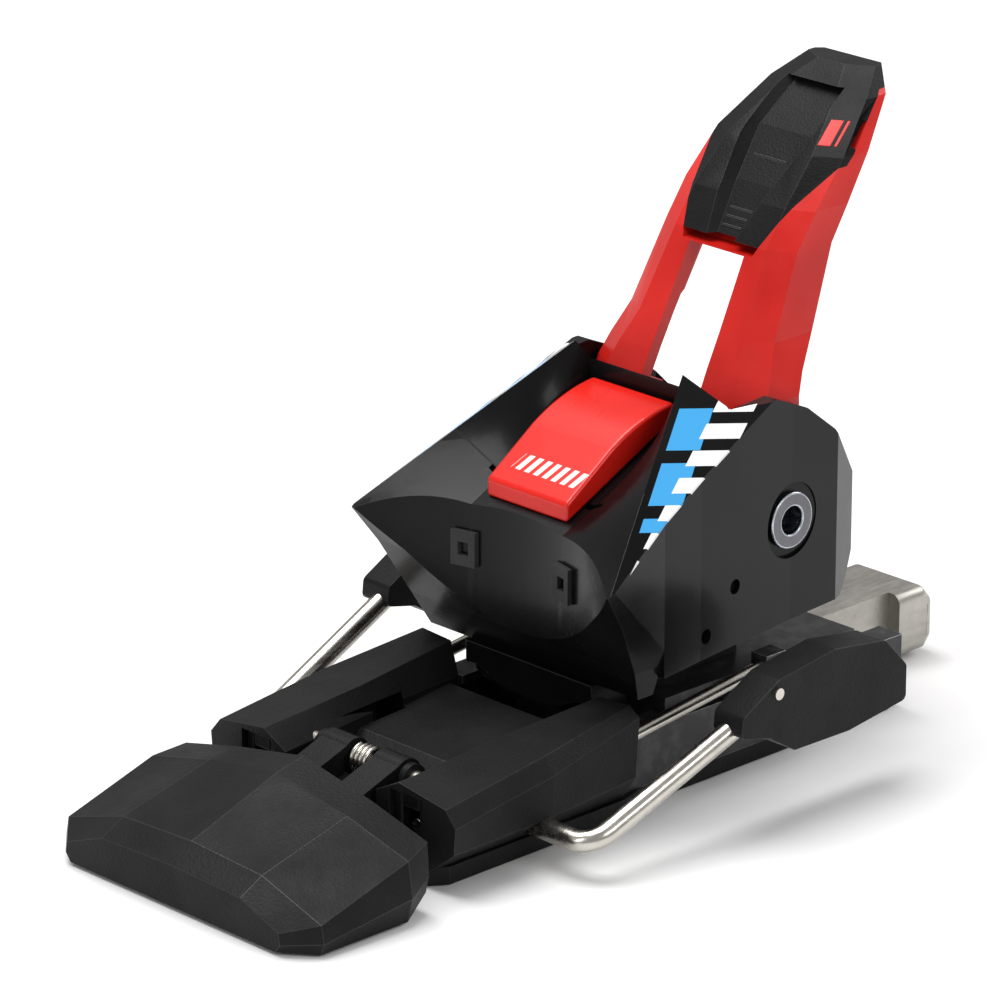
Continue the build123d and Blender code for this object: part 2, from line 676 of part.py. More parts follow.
with BuildPart() as release_screw:
    with BuildSketch(plane_x(TUBE_REAR_X - 3.4)):
        with Locations((0, PIVOT_Z)):
            Circle(6)
    extrude(amount=3.2)
    chamfer(release_screw.faces().sort_by(Axis.X)[0].edges(), 0.6)
    with BuildSketch(plane_x(TUBE_REAR_X - 0.2)):
        with Locations((0, PIVOT_Z)):
            Circle(SCREW_R)
    extrude(amount=26)
    with BuildSketch(plane_x(TUBE_REAR_X - 3.4)):
        with Locations((0, PIVOT_Z)):
            Rectangle(9, 1.6)
    extrude(amount=1.6, mode=Mode.SUBTRACT)
save(release_screw.part, "release_screw")

with BuildPart() as spring_seat:
    with BuildSketch(plane_x(SEAT_X)):
        with Locations((0, PIVOT_Z)):
            Circle(BORE_R - 0.3)
            Circle(SCREW_R + RUN, mode=Mode.SUBTRACT)
    extrude(amount=SEAT_T)
save(spring_seat.part, "spring_seat")

with BuildPart() as release_spring:
    spring_start = SEAT_X + SEAT_T + 1.5
    spring_length = SPRING_END_X - 1.5 - spring_start
    with BuildLine():
        coil = Helix(
            pitch=4.6, height=spring_length, radius=6.3, center=(spring_start, 0, PIVOT_Z), direction=(1, 0, 0)
        )
    with BuildSketch(Plane(origin=coil @ 0, z_dir=coil % 0)):
        Circle(1.4)
    sweep(path=coil, is_frenet=True)
save(release_spring.part, "release_spring")

with BuildPart() as piston:
    dome_r = 20.0
    with BuildSketch(plane_x(SPRING_END_X)):
        with Locations((0, PIVOT_Z)):
            Circle(BORE_R - 0.1)
    extrude(amount=PISTON_TIP_X - SPRING_END_X)
    with Locations((PISTON_TIP_X - dome_r, 0, PIVOT_Z)):
        Sphere(dome_r, mode=Mode.INTERSECT)
save(piston.part, "piston")

# ---------------------------------------------------------------- red lever: two hubs, fork and core of the head
LEVER_SECTIONS = (
    # height, front, half width, rear
    (72.0, -2.5, 25.6, -22.0),
    (80.0, -6.3, 25.6, -21.5),
    (85.0, -8.8, 24.2, -24.0),
    (92.0, -12.5, 21.6, -29.5),
    (110.0, -21.5, 19.6, -37.5),
)
HEAD_SECTIONS = (
    (110.0, -21.5, 19.6, -37.5),
    (118.0, -27.3, 19.6, -42.5),
    (128.0, -36.5, 18.8, -49.5),
    (138.0, -48.5, 14.3, -59.8),
    (143.0, -56.0, 10.0, -63.0),
)
TROUGH_SECTIONS = (
    # height, front, half width
    (109.0, -19.5, 4.6),
    (120.0, -28.8, 7.2),
    (130.0, -38.6, 9.8),
    (139.5, -50.6, 8.8),
)
TROUGH_DEPTH = 3.4
CHANNEL_TOP_Z = 107.7
WINDOW = ((-43.2, 129.8), (-48.2, 134.8), (-51.0, 133.2), (-46.0, 128.2))   # side window, (x, z)
WINDOW_FLOOR_Y = 13.5


def lever_outline(front, half, rear):
    """Section of the lever at one height, with its front corners cut back."""
    near_side = [(front, half - 6), (front - 3.5, half), (rear + 1.5, half), (rear, half - 1.5)]
    return near_side + [(x, -y) for x, y in reversed(near_side)]


# head of the lever, and the part of it that the grip takes
with BuildPart() as head_block:
    for z, front, half, rear in HEAD_SECTIONS:
        with BuildSketch(Plane.XY.offset(z)):
            with BuildLine():
                Polyline(*lever_outline(front, half, rear), close=True)
            make_face()
    loft(ruled=True)

with BuildPart() as grip_zone:
    with BuildSketch(plane_y(30)):
        with BuildLine():
            # behind the grip the head stays bare
            Polyline(
                (-10, 108), (-25.5, 108), (-41.5, 126.5), (-50, 133.5), (-57, 139), (-80, 141), (-80, 160),
                (-10, 160), close=True,
            )
        make_face()
    extrude(amount=60)
    with BuildSketch(plane_x(-90)):
        with BuildLine():
            Polyline(
                (-10.4, 108), (10.4, 108), (15.2, 119), (20.5, 129), (20.5, 160), (-20.5, 160),
                (-20.5, 129), (-15.2, 119), close=True,
            )
        make_face()
    extrude(amount=90, mode=Mode.INTERSECT)

with BuildPart() as lever:
    for z, front, half, rear in LEVER_SECTIONS:
        with BuildSketch(Plane.XY.offset(z)):
            with BuildLine():
                Polyline(*lever_outline(front, half, rear), close=True)
            make_face()
    loft(ruled=True)
    add(head_block.part)
    add(grip_zone.part, mode=Mode.SUBTRACT)
    # bar that shows in the grip's side windows
    with BuildSketch(plane_y(WINDOW_FLOOR_Y)):
        with BuildLine():
            Polyline(*WINDOW, close=True)
        make_face()
    extrude(amount=2 * WINDOW_FLOOR_Y)
    # slot through the fork
    for z, half in ((60, 9.2), (CHANNEL_TOP_Z, 8.2)):
        with BuildSketch(Plane.XY.offset(z)):
            with Locations((-15, 0)):
                Rectangle(90, 2 * half)
    loft(ruled=True, mode=Mode.SUBTRACT)
    # channel behind the fork's front plate, open to the rear
    for z, front, half, rear in LEVER_SECTIONS:
        with BuildSketch(Plane.XY.offset(min(z, CHANNEL_TOP_Z))):
            with BuildLine():
                Polyline(
                    (front - 3.4, half - 8), (front - 7, half - 3.2), (rear - 20, half - 3.2),
                    (rear - 20, 3.2 - half), (front - 7, 3.2 - half), (front - 3.4, 8 - half), close=True,
                )
            make_face()
    loft(ruled=True, mode=Mode.SUBTRACT)
    # hubs on the studs
    for hub_y in (HUB_OUT, -HUB_IN):
        with BuildSketch(plane_y(hub_y)):
            with Locations((PIVOT_X, PIVOT_Z)):
                Circle(HUB_R)
            with BuildLine():
                Polyline((-24.8, 56), (-21.5, 73), (-6, 73), (-3.4, 57), close=True)
            make_face()
        extrude(amount=HUB_OUT - HUB_IN)
    with BuildSketch(plane_y(45)):
        with Locations((PIVOT_X, PIVOT_Z)):
            Circle(STUD_R + RUN)
    extrude(amount=90, mode=Mode.SUBTRACT)
save(lever.part, "lever")

with BuildPart() as lever_grip:
    add(head_block.part)
    add(grip_zone.part, mode=Mode.INTERSECT)
    # long trough down the middle
    for z, front, half in TROUGH_SECTIONS:
        with BuildSketch(Plane.XY.offset(z)):
            with BuildLine():
                Polyline(
                    (front + 8, half + 2), (front, half), (front - TROUGH_DEPTH, half - 1.8),
                    (front - TROUGH_DEPTH, 1.8 - half), (front, -half), (front + 8, -half - 2), close=True,
                )
            make_face()
    loft(ruled=True, mode=Mode.SUBTRACT)
    with BuildSketch(plane_y(30)):
        with BuildLine():
            Polyline(*WINDOW, close=True)
        make_face()
    extrude(amount=60, mode=Mode.SUBTRACT)
save(lever_grip.part, "lever_grip")
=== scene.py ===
import json
import math

import bmesh
import bpy
from mathutils import Matrix, Vector

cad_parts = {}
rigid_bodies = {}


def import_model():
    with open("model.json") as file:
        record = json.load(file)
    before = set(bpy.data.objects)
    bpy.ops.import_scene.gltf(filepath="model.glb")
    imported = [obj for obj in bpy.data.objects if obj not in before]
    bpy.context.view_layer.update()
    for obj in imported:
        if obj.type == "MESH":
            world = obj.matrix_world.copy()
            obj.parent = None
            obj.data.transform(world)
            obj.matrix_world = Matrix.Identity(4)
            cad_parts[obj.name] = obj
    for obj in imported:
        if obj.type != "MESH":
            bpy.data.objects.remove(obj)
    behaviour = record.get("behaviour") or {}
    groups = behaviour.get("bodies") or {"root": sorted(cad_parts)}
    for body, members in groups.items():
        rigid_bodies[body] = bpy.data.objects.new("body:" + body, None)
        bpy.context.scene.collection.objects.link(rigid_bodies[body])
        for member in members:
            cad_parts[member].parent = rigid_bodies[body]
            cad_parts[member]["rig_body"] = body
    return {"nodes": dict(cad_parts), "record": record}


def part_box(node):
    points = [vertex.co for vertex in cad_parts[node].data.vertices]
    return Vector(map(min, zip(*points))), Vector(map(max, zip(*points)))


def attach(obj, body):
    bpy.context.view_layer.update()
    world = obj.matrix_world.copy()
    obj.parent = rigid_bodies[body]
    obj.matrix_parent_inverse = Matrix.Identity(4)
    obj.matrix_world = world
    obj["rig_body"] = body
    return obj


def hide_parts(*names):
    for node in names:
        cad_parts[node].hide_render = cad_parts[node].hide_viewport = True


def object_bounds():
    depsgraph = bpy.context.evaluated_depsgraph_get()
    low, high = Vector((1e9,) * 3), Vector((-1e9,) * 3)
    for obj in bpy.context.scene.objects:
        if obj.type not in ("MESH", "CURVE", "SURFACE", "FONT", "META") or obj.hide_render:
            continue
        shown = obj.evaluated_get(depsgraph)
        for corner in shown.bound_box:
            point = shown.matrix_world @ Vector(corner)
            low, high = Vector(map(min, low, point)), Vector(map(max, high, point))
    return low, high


# Looks of a ski binding's heel unit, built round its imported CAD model.
# Row frame in metres: +X towards the toe, +Y to the skier's left, +Z up.

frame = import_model()
cad_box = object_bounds()

MM = 0.001
SIDES = ((1, "left"), (-1, "right"))

# ---------------------------------------------------------------- driving points in millimetres, colours
JAW_TIP = Vector((51.6, 39.5, 56.3))       # front end of a side ridge
WALL_TIP = Vector((6.7, 16.3, 89.0))       # rear end of a side ridge
SIDE_HUMP = Vector((0.0, 29.0, 82.0))      # third point of the sloping side face

SKY_BLUE = (0.06, 0.36, 0.72)
OFF_WHITE = (0.84, 0.85, 0.86)
PALE_PINK = (0.92, 0.80, 0.76)
# bright bare metal, both for wear and for painted edge highlights
BARE_AND_HIGHLIT_METAL = (0.50, 0.49, 0.46)
SMOOTH_ANGLE = 32.0                        # degrees; sharper edges stay sharp


# ---------------------------------------------------------------- node helpers
class Shader:
    """A node material being built, with short names for the nodes it needs."""

    def __init__(self, name):
        self.material = bpy.data.materials.new(name)
        self.material.use_nodes = True
        self.tree = self.material.node_tree
        self.bsdf = self.tree.nodes["Principled BSDF"]
        self.place = self.new("ShaderNodeTexCoord").outputs["Object"]

    def new(self, kind, **values):
        node = self.tree.nodes.new(kind)
        for key, value in values.items():
            setattr(node, key, value)
        return node

    def link(self, source, target):
        self.tree.links.new(source, target)

    def stretched(self, scale):
        """Object coordinates stretched by a scale along each axis."""
        mapping = self.new("ShaderNodeMapping")
        mapping.inputs["Scale"].default_value = scale
        self.link(self.place, mapping.inputs["Vector"])
        return mapping.outputs["Vector"]

    def noise(self, scale, detail=4.0, roughness=0.55, stretch=(1, 1, 1)):
        node = self.new("ShaderNodeTexNoise")
        node.inputs["Scale"].default_value = scale
        node.inputs["Detail"].default_value = detail
        node.inputs["Roughness"].default_value = roughness
        self.link(self.stretched(stretch), node.inputs["Vector"])
        return node.outputs["Fac"]

    def cells(self, scale):
        node = self.new("ShaderNodeTexVoronoi")
        node.inputs["Scale"].default_value = scale
        self.link(self.place, node.inputs["Vector"])
        return node.outputs["Distance"]

    def ranged(self, value, low, high, to_low, to_high):
        node = self.new("ShaderNodeMapRange")
        ends = {"From Min": low, "From Max": high, "To Min": to_low, "To Max": to_high}
        for socket, number in ends.items():
            node.inputs[socket].default_value = number
        self.link(value, node.inputs["Value"])
        return node.outputs["Result"]

    def math(self, operation, a, b=None):
        node = self.new("ShaderNodeMath", operation=operation)
        for index, value in enumerate((a, b)):
            if value is None:
                continue
            if isinstance(value, (int, float)):
                node.inputs[index].default_value = value
            else:
                self.link(value, node.inputs[index])
        return node.outputs["Value"]

    def mix(self, factor, a, b):
        """Colour between a and b, each a colour or a socket."""
        node = self.new("ShaderNodeMix", data_type="RGBA")
        self.link(factor, node.inputs["Factor"])
        for socket, value in (("A", a), ("B", b)):
            target = [i for i in node.inputs if i.name == socket and i.type == "RGBA"][0]
            if isinstance(value, tuple):
                target.default_value = (*value, 1)
            else:
                self.link(value, target)
        return [o for o in node.outputs if o.type == "RGBA"][0]

    def bump(self, height, strength, distance):
        node = self.new("ShaderNodeBump")
        node.inputs["Strength"].default_value = strength
        node.inputs["Distance"].default_value = distance
        self.link(height, node.inputs["Height"])
        if self.bsdf.inputs["Normal"].is_linked:
            self.link(self.bsdf.inputs["Normal"].links[0].from_socket, node.inputs["Normal"])
        self.link(node.outputs["Normal"], self.bsdf.inputs["Normal"])

    def dot(self, direction, offset=0.0, mirrored=False):
        """Distance along a direction from the origin, less an offset, in metres."""
        source = self.place
        if mirrored:
            parts = self.new("ShaderNodeSeparateXYZ")
            self.link(self.place, parts.inputs["Vector"])
            joined = self.new("ShaderNodeCombineXYZ")
            self.link(parts.outputs["X"], joined.inputs["X"])
            self.link(self.math("ABSOLUTE", parts.outputs["Y"]), joined.inputs["Y"])
            self.link(parts.outputs["Z"], joined.inputs["Z"])
            source = joined.outputs["Vector"]
        node = self.new("ShaderNodeVectorMath", operation="DOT_PRODUCT")
        self.link(source, node.inputs[0])
        node.inputs[1].default_value = direction
        return self.math("SUBTRACT", node.outputs["Value"], offset)

    def between(self, value, low, high):
        """1 where value is between low and high."""
        above = self.math("GREATER_THAN", value, low)
        below = self.math("LESS_THAN", value, high)
        return self.math("MULTIPLY", above, below)


def moulded(name, base, rough, grain, grain_depth, coat=0.0, specular=0.5, blotch=0.25):
    """Moulded plastic: fine grain and slow colour variation."""
    s = Shader(name)
    lighter = tuple(min(1.0, c * (1 + blotch) + 0.002) for c in base)
    darker = tuple(c * (1 - blotch) for c in base)
    clouds = s.noise(38.0, 5.0)
    colour = s.mix(s.ranged(clouds, 0.35, 0.65, 0.0, 1.0), darker, lighter)
    s.link(colour, s.bsdf.inputs["Base Color"])
    smudge = s.noise(90.0, 6.0, 0.65)
    s.link(s.ranged(smudge, 0.3, 0.7, rough * 0.85, rough * 1.18), s.bsdf.inputs["Roughness"])
    s.bsdf.inputs["Specular IOR Level"].default_value = specular
    s.bsdf.inputs["Coat Weight"].default_value = coat
    s.bsdf.inputs["Coat Roughness"].default_value = 0.12
    s.bump(s.cells(grain), grain_depth, 0.00012)
    s.bump(s.noise(grain * 2.2, 3.0), grain_depth * 0.6, 0.00008)
    return s


def metal(name, base, rough, brushed, specks=0.12):
    """Plated or cast metal: fine brushing, small pits, uneven roughness."""
    s = Shader(name)
    s.bsdf.inputs["Metallic"].default_value = 1.0
    dull = tuple(c * 0.72 for c in base)
    tone = s.noise(60.0, 6.0, 0.6)
    colour = s.mix(s.ranged(tone, 0.3, 0.7, 0.0, 1.0), dull, base)
    pits = s.ranged(s.noise(900.0, 2.0), 0.62, 0.72, 0.0, specks)
    colour = s.mix(pits, colour, tuple(c * 0.35 for c in base))
    s.link(colour, s.bsdf.inputs["Base Color"])
    strokes = s.noise(700.0, 4.0, 0.6, brushed)
    s.link(s.ranged(strokes, 0.3, 0.7, rough * 0.75, rough * 1.3), s.bsdf.inputs["Roughness"])
    s.bump(strokes, 0.15, 0.00006)
    return s


def painted(name, base, rough):
    """Semi-gloss paint with slight orange peel and dust specks."""
    s = Shader(name)
    deep = tuple(c * 0.80 for c in base)
    bright = tuple(min(1.0, c * 1.12 + 0.01) for c in base)
    colour = s.mix(s.ranged(s.noise(25.0, 3.0), 0.35, 0.65, 0.0, 1.0), deep, bright)
    s.link(colour, s.bsdf.inputs["Base Color"])
    s.link(s.ranged(s.noise(120.0, 5.0), 0.3, 0.7, rough * 0.8, rough * 1.25), s.bsdf.inputs["Roughness"])
    s.bsdf.inputs["Specular IOR Level"].default_value = 0.25
    s.bsdf.inputs["Coat Weight"].default_value = 0.12
    s.bsdf.inputs["Coat Roughness"].default_value = 0.18
    s.bump(s.noise(420.0, 2.0), 0.12, 0.00010)
    s.bump(s.noise(2600.0, 2.0), 0.10, 0.00004)
    return s


def coated_steel(name, wear_and_highlight):
    """Black electro-coat over steel, with bright metal by a share called worn: on flat faces real
    rubbed-through wear, on the edge version mostly a painted highlight.
    """
    s = Shader(name)
    low = 0.5 - 0.2 * wear_and_highlight
    wear_and_highlight_mask = s.ranged(s.noise(160.0, 5.0), low, low + 0.12, 0.0, wear_and_highlight)
    s.link(s.mix(wear_and_highlight_mask, (0.016, 0.016, 0.018), BARE_AND_HIGHLIT_METAL), s.bsdf.inputs["Base Color"])
    s.link(s.ranged(wear_and_highlight_mask, 0.0, 1.0, 0.1, 0.95), s.bsdf.inputs["Metallic"])
    s.link(s.ranged(s.noise(300.0, 4.0), 0.3, 0.7, 0.30, 0.46), s.bsdf.inputs["Roughness"])
    s.bump(s.noise(1500.0, 3.0), 0.15, 0.00005)
    return s


def bars(s, base_socket, mask, along, pitch, width, colour, low, high):
    """Paints evenly spaced slanted bars of one colour inside a mask."""
    wrapped = s.math("PINGPONG", along, pitch / 2)
    bar = s.math("LESS_THAN", wrapped, width / 2)
    bar = s.math("MULTIPLY", bar, s.between(along, low, high))
    bar = s.math("MULTIPLY", bar, mask)
    return s.mix(bar, base_socket, colour)


def add_side_bars(s):
    """Generic slanted white and blue bars on the sloping side faces."""
    u = (WALL_TIP - JAW_TIP).normalized()
    n = u.cross(SIDE_HUMP - JAW_TIP).normalized()
    if n.z < 0:
        n = -n
    v = n.cross(u)
    if v.z < 0:
        v = -v
    along = s.dot(u, JAW_TIP.dot(u) * MM, True)
    across = s.dot(v, JAW_TIP.dot(v) * MM, True)
    height = s.dot(n, JAW_TIP.dot(n) * MM, True)
    face = s.between(height, -0.5 * MM, 0.5 * MM)
    base = s.bsdf.inputs["Base Color"].links[0].from_socket
    slanted = s.math("ADD", along, s.math("MULTIPLY", across, 0.45))
    drift = s.math("ADD", across, s.math("MULTIPLY", along, 0.13))
    margin = -1.6 * MM
    blue = s.math("MULTIPLY", face, s.between(across, -8.5 * MM, margin))
    white = s.math("MULTIPLY", face, s.between(drift, -9.4 * MM, margin))
    colour = bars(s, base, blue, slanted, 15 * MM, 11.5 * MM, SKY_BLUE, 17 * MM, 54 * MM)
    colour = bars(s, colour, white, slanted, 7.4 * MM, 4.2 * MM, OFF_WHITE, 1 * MM, 54 * MM)
    s.link(colour, s.bsdf.inputs["Base Color"])


def add_insert_bars(s):
    """Generic row of short pale bars near the front edge of the red insert."""
    low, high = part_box("top_insert")
    upwards = Vector((0.56, 0, 0.83))
    lower_limit = upwards.dot(Vector((high.x, 0, low.z + 4 * MM)))
    face = s.math("GREATER_THAN", s.dot(upwards, lower_limit), 0.0)
    strip = s.between(s.dot((1, 0, 0)), high.x - 7.2 * MM, high.x - 3.6 * MM)
    mask = s.math("MULTIPLY", face, strip)
    across = s.math("ADD", s.dot((0, 1, 0)), s.math("MULTIPLY", s.dot((1, 0, 0)), 0.35))
    base = s.bsdf.inputs["Base Color"].links[0].from_socket
    middle = 13 * MM
    span = high.y * 0.78
    colour = bars(s, base, mask, across, 2.7 * MM, 1.5 * MM, PALE_PINK, middle - span, middle + span)
    s.link(colour, s.bsdf.inputs["Base Color"])


def make_materials(edge):
    """Every finish by slot name; edge makes the smoother version for rounded edges, lighter for most
    finishes as a painted highlight.
    """
    # painted highlight: the edge version of the black finishes is made this many times lighter
    highlight_lift = 2.2 if edge else 1.0
    polish = 0.8 if edge else 1.0
    shine = 0.30 if edge else 0.12
    coat = 0.35 if edge else 0.07
    tag = "_edge" if edge else ""
    # satin black edges get a lighter base as a painted highlight
    satin_plain_and_highlight = (0.05, 0.05, 0.053) if edge else (0.007, 0.007, 0.0075)
    # stud heads: the plain version is darkened as painted shade of their recess; the edge version is a
    # bright painted highlight on the rim
    stud_shade_and_highlight = (0.62, 0.66, 0.72) if edge else (0.17, 0.17, 0.185)

    def lit(*base):
        return tuple(c * highlight_lift for c in base)

    def black(name, base, rough, grain, grain_depth, weight=0.0):
        return moulded(name + tag, base, rough * polish, grain, grain_depth, weight, shine)

    made = {
        "black_plastic": black("black_plastic", lit(0.009, 0.009, 0.0095), 0.46, 1500.0, 0.35),
        "satin_black": black("satin_black", satin_plain_and_highlight, 0.38, 1900.0, 0.28),
        "gloss_black": black("gloss_black", lit(0.004, 0.004, 0.0045), 0.24, 900.0, 0.05, coat),
        "side_wall_black": black("side_wall_black", lit(0.004, 0.004, 0.0045), 0.24, 900.0, 0.05, coat),
        "red_plastic": moulded(
            "red_plastic" + tag, (0.70, 0.012, 0.006), 0.30 * polish, 1200.0, 0.08, coat, 0.25, 0.1
        ),
        "red_paint": painted("red_paint" + tag, (0.60, 0.010, 0.005), 0.34 * polish),
        "bright_steel": metal("bright_steel" + tag, (0.66, 0.63, 0.57), 0.24, (0.12, 1, 1)),
        "stud_steel": metal("stud_steel" + tag, stud_shade_and_highlight, 0.28, (1, 1, 0.2)),
        # edge version mostly bright metal: partly real wear, partly a painted highlight
        "rail_steel": coated_steel("rail_steel" + tag, 0.85 if edge else 0.06),
        "zinc": metal("zinc" + tag, (0.50, 0.48, 0.44), 0.42, (0.2, 1, 1), 0.25),
        "tube_alloy": metal("tube_alloy" + tag, (0.09, 0.09, 0.10), 0.32, (1, 0.1, 0.1)),
        "grey_rubber": moulded("grey_rubber" + tag, (0.035, 0.035, 0.036), 0.62, 1400.0, 0.3, 0, 0.2),
    }
    add_side_bars(made["side_wall_black"])
    add_insert_bars(made["red_plastic"])
    return {name: s.material for name, s in made.items()}


MATERIALS = make_materials(False)
# lighter copies for the rounded edge strips: painted highlights
EDGE_HIGHLIGHTS = make_materials(True)
SLOT_OF = {row["node"]: row["material_slot"] for row in frame["record"]["subparts"]}


def body_name(node):
    return frame["nodes"][node]["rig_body"]


# ---------------------------------------------------------------- mesh helpers
WELD_DISTANCE = 2e-6
FLAT_ANGLE = 1.2                           # degrees; faces that meet at less become one


def clean_copy(node):
    """bmesh of a CAD node's surface, welded, with nearly flat areas joined to one face each."""
    bm = bmesh.new()
    bm.from_mesh(frame["nodes"][node].data)
    bmesh.ops.remove_doubles(bm, verts=bm.verts, dist=WELD_DISTANCE)
    bmesh.ops.dissolve_limit(
        bm,
        angle_limit=math.radians(FLAT_ANGLE),
        verts=bm.verts,
        edges=bm.edges,
        use_dissolve_boundaries=False,
    )
    return bm


def to_object(bm, name, material, smooth_angle=None):
    """Linked object from a bmesh, which is used up; smooth where an angle is given."""
    mesh = bpy.data.meshes.new(name)
    bm.normal_update()
    bm.to_mesh(mesh)
    bm.free()
    obj = bpy.data.objects.new(name, mesh)
    bpy.context.scene.collection.objects.link(obj)
    mesh.materials.append(material)
    if smooth_angle:
        mesh.shade_smooth()
        mesh.set_sharp_from_angle(angle=math.radians(smooth_angle))
    return obj


def round_edges(obj, width, angle, segments):
    """Rounds every edge sharper than an angle; the rounded strips take the second material, a lighter
    painted-highlight version.
    """
    bevel = obj.modifiers.new("rounded_edges", "BEVEL")
    bevel.width = width * MM
    bevel.segments = segments
    bevel.limit_method = "ANGLE"
    bevel.angle_limit = math.radians(angle)
    bevel.use_clamp_overlap = True
    bevel.harden_normals = True
    bevel.miter_outer = "MITER_ARC"
    bevel.material = 1


def add_piece(bm, name, body, finish, width, angle, segments):
    """New piece that rides a body, with rounded edges in the finish's edge version, lighter for most
    finishes as a painted highlight.
    """
    obj = to_object(bm, name, MATERIALS[finish], angle)
    obj.data.materials.append(EDGE_HIGHLIGHTS[finish])
    round_edges(obj, width, angle, segments)
    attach(obj, body)
    return obj


def refined(node, name, width, angle, finish=None):
    """New piece with a CAD node's shape and rounded edges, standing for the node."""
    slot = SLOT_OF[node]
    obj = add_piece(clean_copy(node), name, body_name(node), finish or slot, width, angle, 3)
    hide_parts(node)


# ---------------------------------------------------------------- refined pieces
REFINED = (
    # node, piece, edge radius in millimetres, smallest angle in degrees that counts as an edge
    ("heel_housing", "housing_shell", 1.3, 13),
    ("heel_jaw", "jaw_shell", 1.3, 13),
    ("treadle", "treadle_shell", 0.5, 20),
    ("top_insert", "red_top_insert", 0.9, 13),
    ("lever", "fork_lever", 1.1, 12),
    ("lever_grip", "grip_pad", 1.1, 12),
    ("brake_pedal", "pedal_shell", 2.2, 8),
    ("brake_block", "shoulder_block", 1.4, 9),
    ("base_plate", "base_plate_shell", 0.5, 20),
    ("brake_foot_left", "foot_left_shell", 1.6, 20),
    ("brake_foot_right", "foot_right_shell", 1.6, 20),
    ("lock_lever", "tail_lever_casting", 0.9, 20),
    ("rail", "rail_sheet", 0.35, 24),
    ("carriage", "carriage_casting", 0.35, 24),
)
FINISH_OF = {"heel_housing": "side_wall_black", "heel_jaw": "side_wall_black"}
for node, name, width, angle in REFINED:
    refined(node, name, width, angle, FINISH_OF.get(node))
for side, word in SIDES:
    refined(f"pivot_stud_{word}", f"stud_head_{word}", 0.4, 24, "stud_steel")


# ---------------------------------------------------------------- small parts that only the looks need
def between_rings(first, second):
    """Closed bmesh between two rings of points in millimetres, with flat ends."""
    bm = bmesh.new()
    rings = [[bm.verts.new(point * MM) for point in ring] for ring in (first, second)]
    count = len(first)
    for i in range(count):
        j = (i + 1) % count
        bm.faces.new((rings[0][i], rings[0][j], rings[1][j], rings[1][i]))
    bm.faces.new(list(reversed(rings[0])))
    bm.faces.new(rings[1])
    bmesh.ops.recalc_face_normals(bm, faces=bm.faces)
    return bm


def prism(outline, plane, low, high):
    """bmesh of an outline in millimetres in plane "yz" or "xz", between two places across it."""
    rings = []
    for place in (low, high):
        if plane == "yz":
            rings.append([Vector((place, a, b)) for a, b in outline])
        else:
            rings.append([Vector((a, place, b)) for a, b in outline])
    return between_rings(*rings)


def circle(centre, radius, count=32):
    """Points round a circle, for prism."""
    turns = [2 * math.pi * i / count for i in range(count)]
    return [(centre[0] + radius * math.cos(t), centre[1] + radius * math.sin(t)) for t in turns]


def joined(parts):
    """One bmesh made of several, which are used up."""
    whole = bmesh.new()
    for part in parts:
        mesh = bpy.data.meshes.new("part")
        part.to_mesh(mesh)
        part.free()
        whole.from_mesh(mesh)
        bpy.data.meshes.remove(mesh)
    return whole


def small_part(bm, name, body, slot, width, angle=24):
    """New piece that only the looks need, in its slot's own finish."""
    add_piece(bm, name, body, slot, width, angle, 2)


# slot frames and pin ends in the front mouths of the shoulders
BLOCK_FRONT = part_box("brake_block")[1].x / MM
FRAME_DEPTH = (BLOCK_FRONT - 4.0, BLOCK_FRONT - 1.4)
PIN_DEPTH = (BLOCK_FRONT - 8.0, BLOCK_FRONT - 3.2)
PIN_END = (23.0, 11.2)                     # (y, z)
PIN_END_R = 1.9
MOUTH_LOW, SLOT_LOW, SLOT_HIGH, MOUTH_HIGH = 5.7, 8.6, 15.8, 19.3            # heights
MOUTH_INNER, SLOT_INNER, SLOT_OUTER, MOUTH_OUTER = 18.2, 20.4, 25.6, 27.8    # from the centre line


def rectangle(y_low, z_low, y_high, z_high):
    """Outline of an upright rectangle, for prism."""
    return ((y_low, z_low), (y_high, z_low), (y_high, z_high), (y_low, z_high))


for side, word in SIDES:
    bars_of_frame = (
        rectangle(MOUTH_INNER, MOUTH_LOW, SLOT_INNER, MOUTH_HIGH),
        rectangle(SLOT_OUTER, MOUTH_LOW, MOUTH_OUTER, MOUTH_HIGH),
        rectangle(SLOT_INNER, SLOT_HIGH, SLOT_OUTER, MOUTH_HIGH),
        rectangle(SLOT_INNER, MOUTH_LOW, SLOT_OUTER, SLOT_LOW),
    )
    frame_parts = []
    for bar in bars_of_frame:
        outline = [(side * y, z) for y, z in bar]
        frame_parts.append(prism(outline, "yz", *FRAME_DEPTH))
    small_part(joined(frame_parts), f"mouth_frame_{word}", "base", "black_plastic", 0.4)
    pin_end = prism(circle((side * PIN_END[0], PIN_END[1]), PIN_END_R), "yz", *PIN_DEPTH)
    small_part(pin_end, f"mouth_pin_{word}", "base", "bright_steel", 0.4)

# fine ribs on the floor of the grip's trough
RIB_COUNT = 9
RIB_SECTION = ((-0.45, -0.4), (0.45, -0.4), (0.25, 0.35), (-0.25, 0.35))   # along and out of the floor
trough_low = Vector((-22.9, 0, 109.0))
trough_high = Vector((-42.0, 0, 130.0))
run = (trough_high - trough_low).normalized()
out = Vector((run.z, 0, -run.x))
ribs = []
for i in range(RIB_COUNT):
    share = 0.12 + 0.62 * i / (RIB_COUNT - 1)
    foot = trough_low.lerp(trough_high, share)
    half = 2.5 + 3.2 * share
    corners = [foot + run * a + out * b for a, b in RIB_SECTION]
    ribs.append(prism([(c.x, c.z) for c in corners], "xz", -half, half))
small_part(joined(ribs), "grip_ribs", "lever", "satin_black", 0.12, 30)

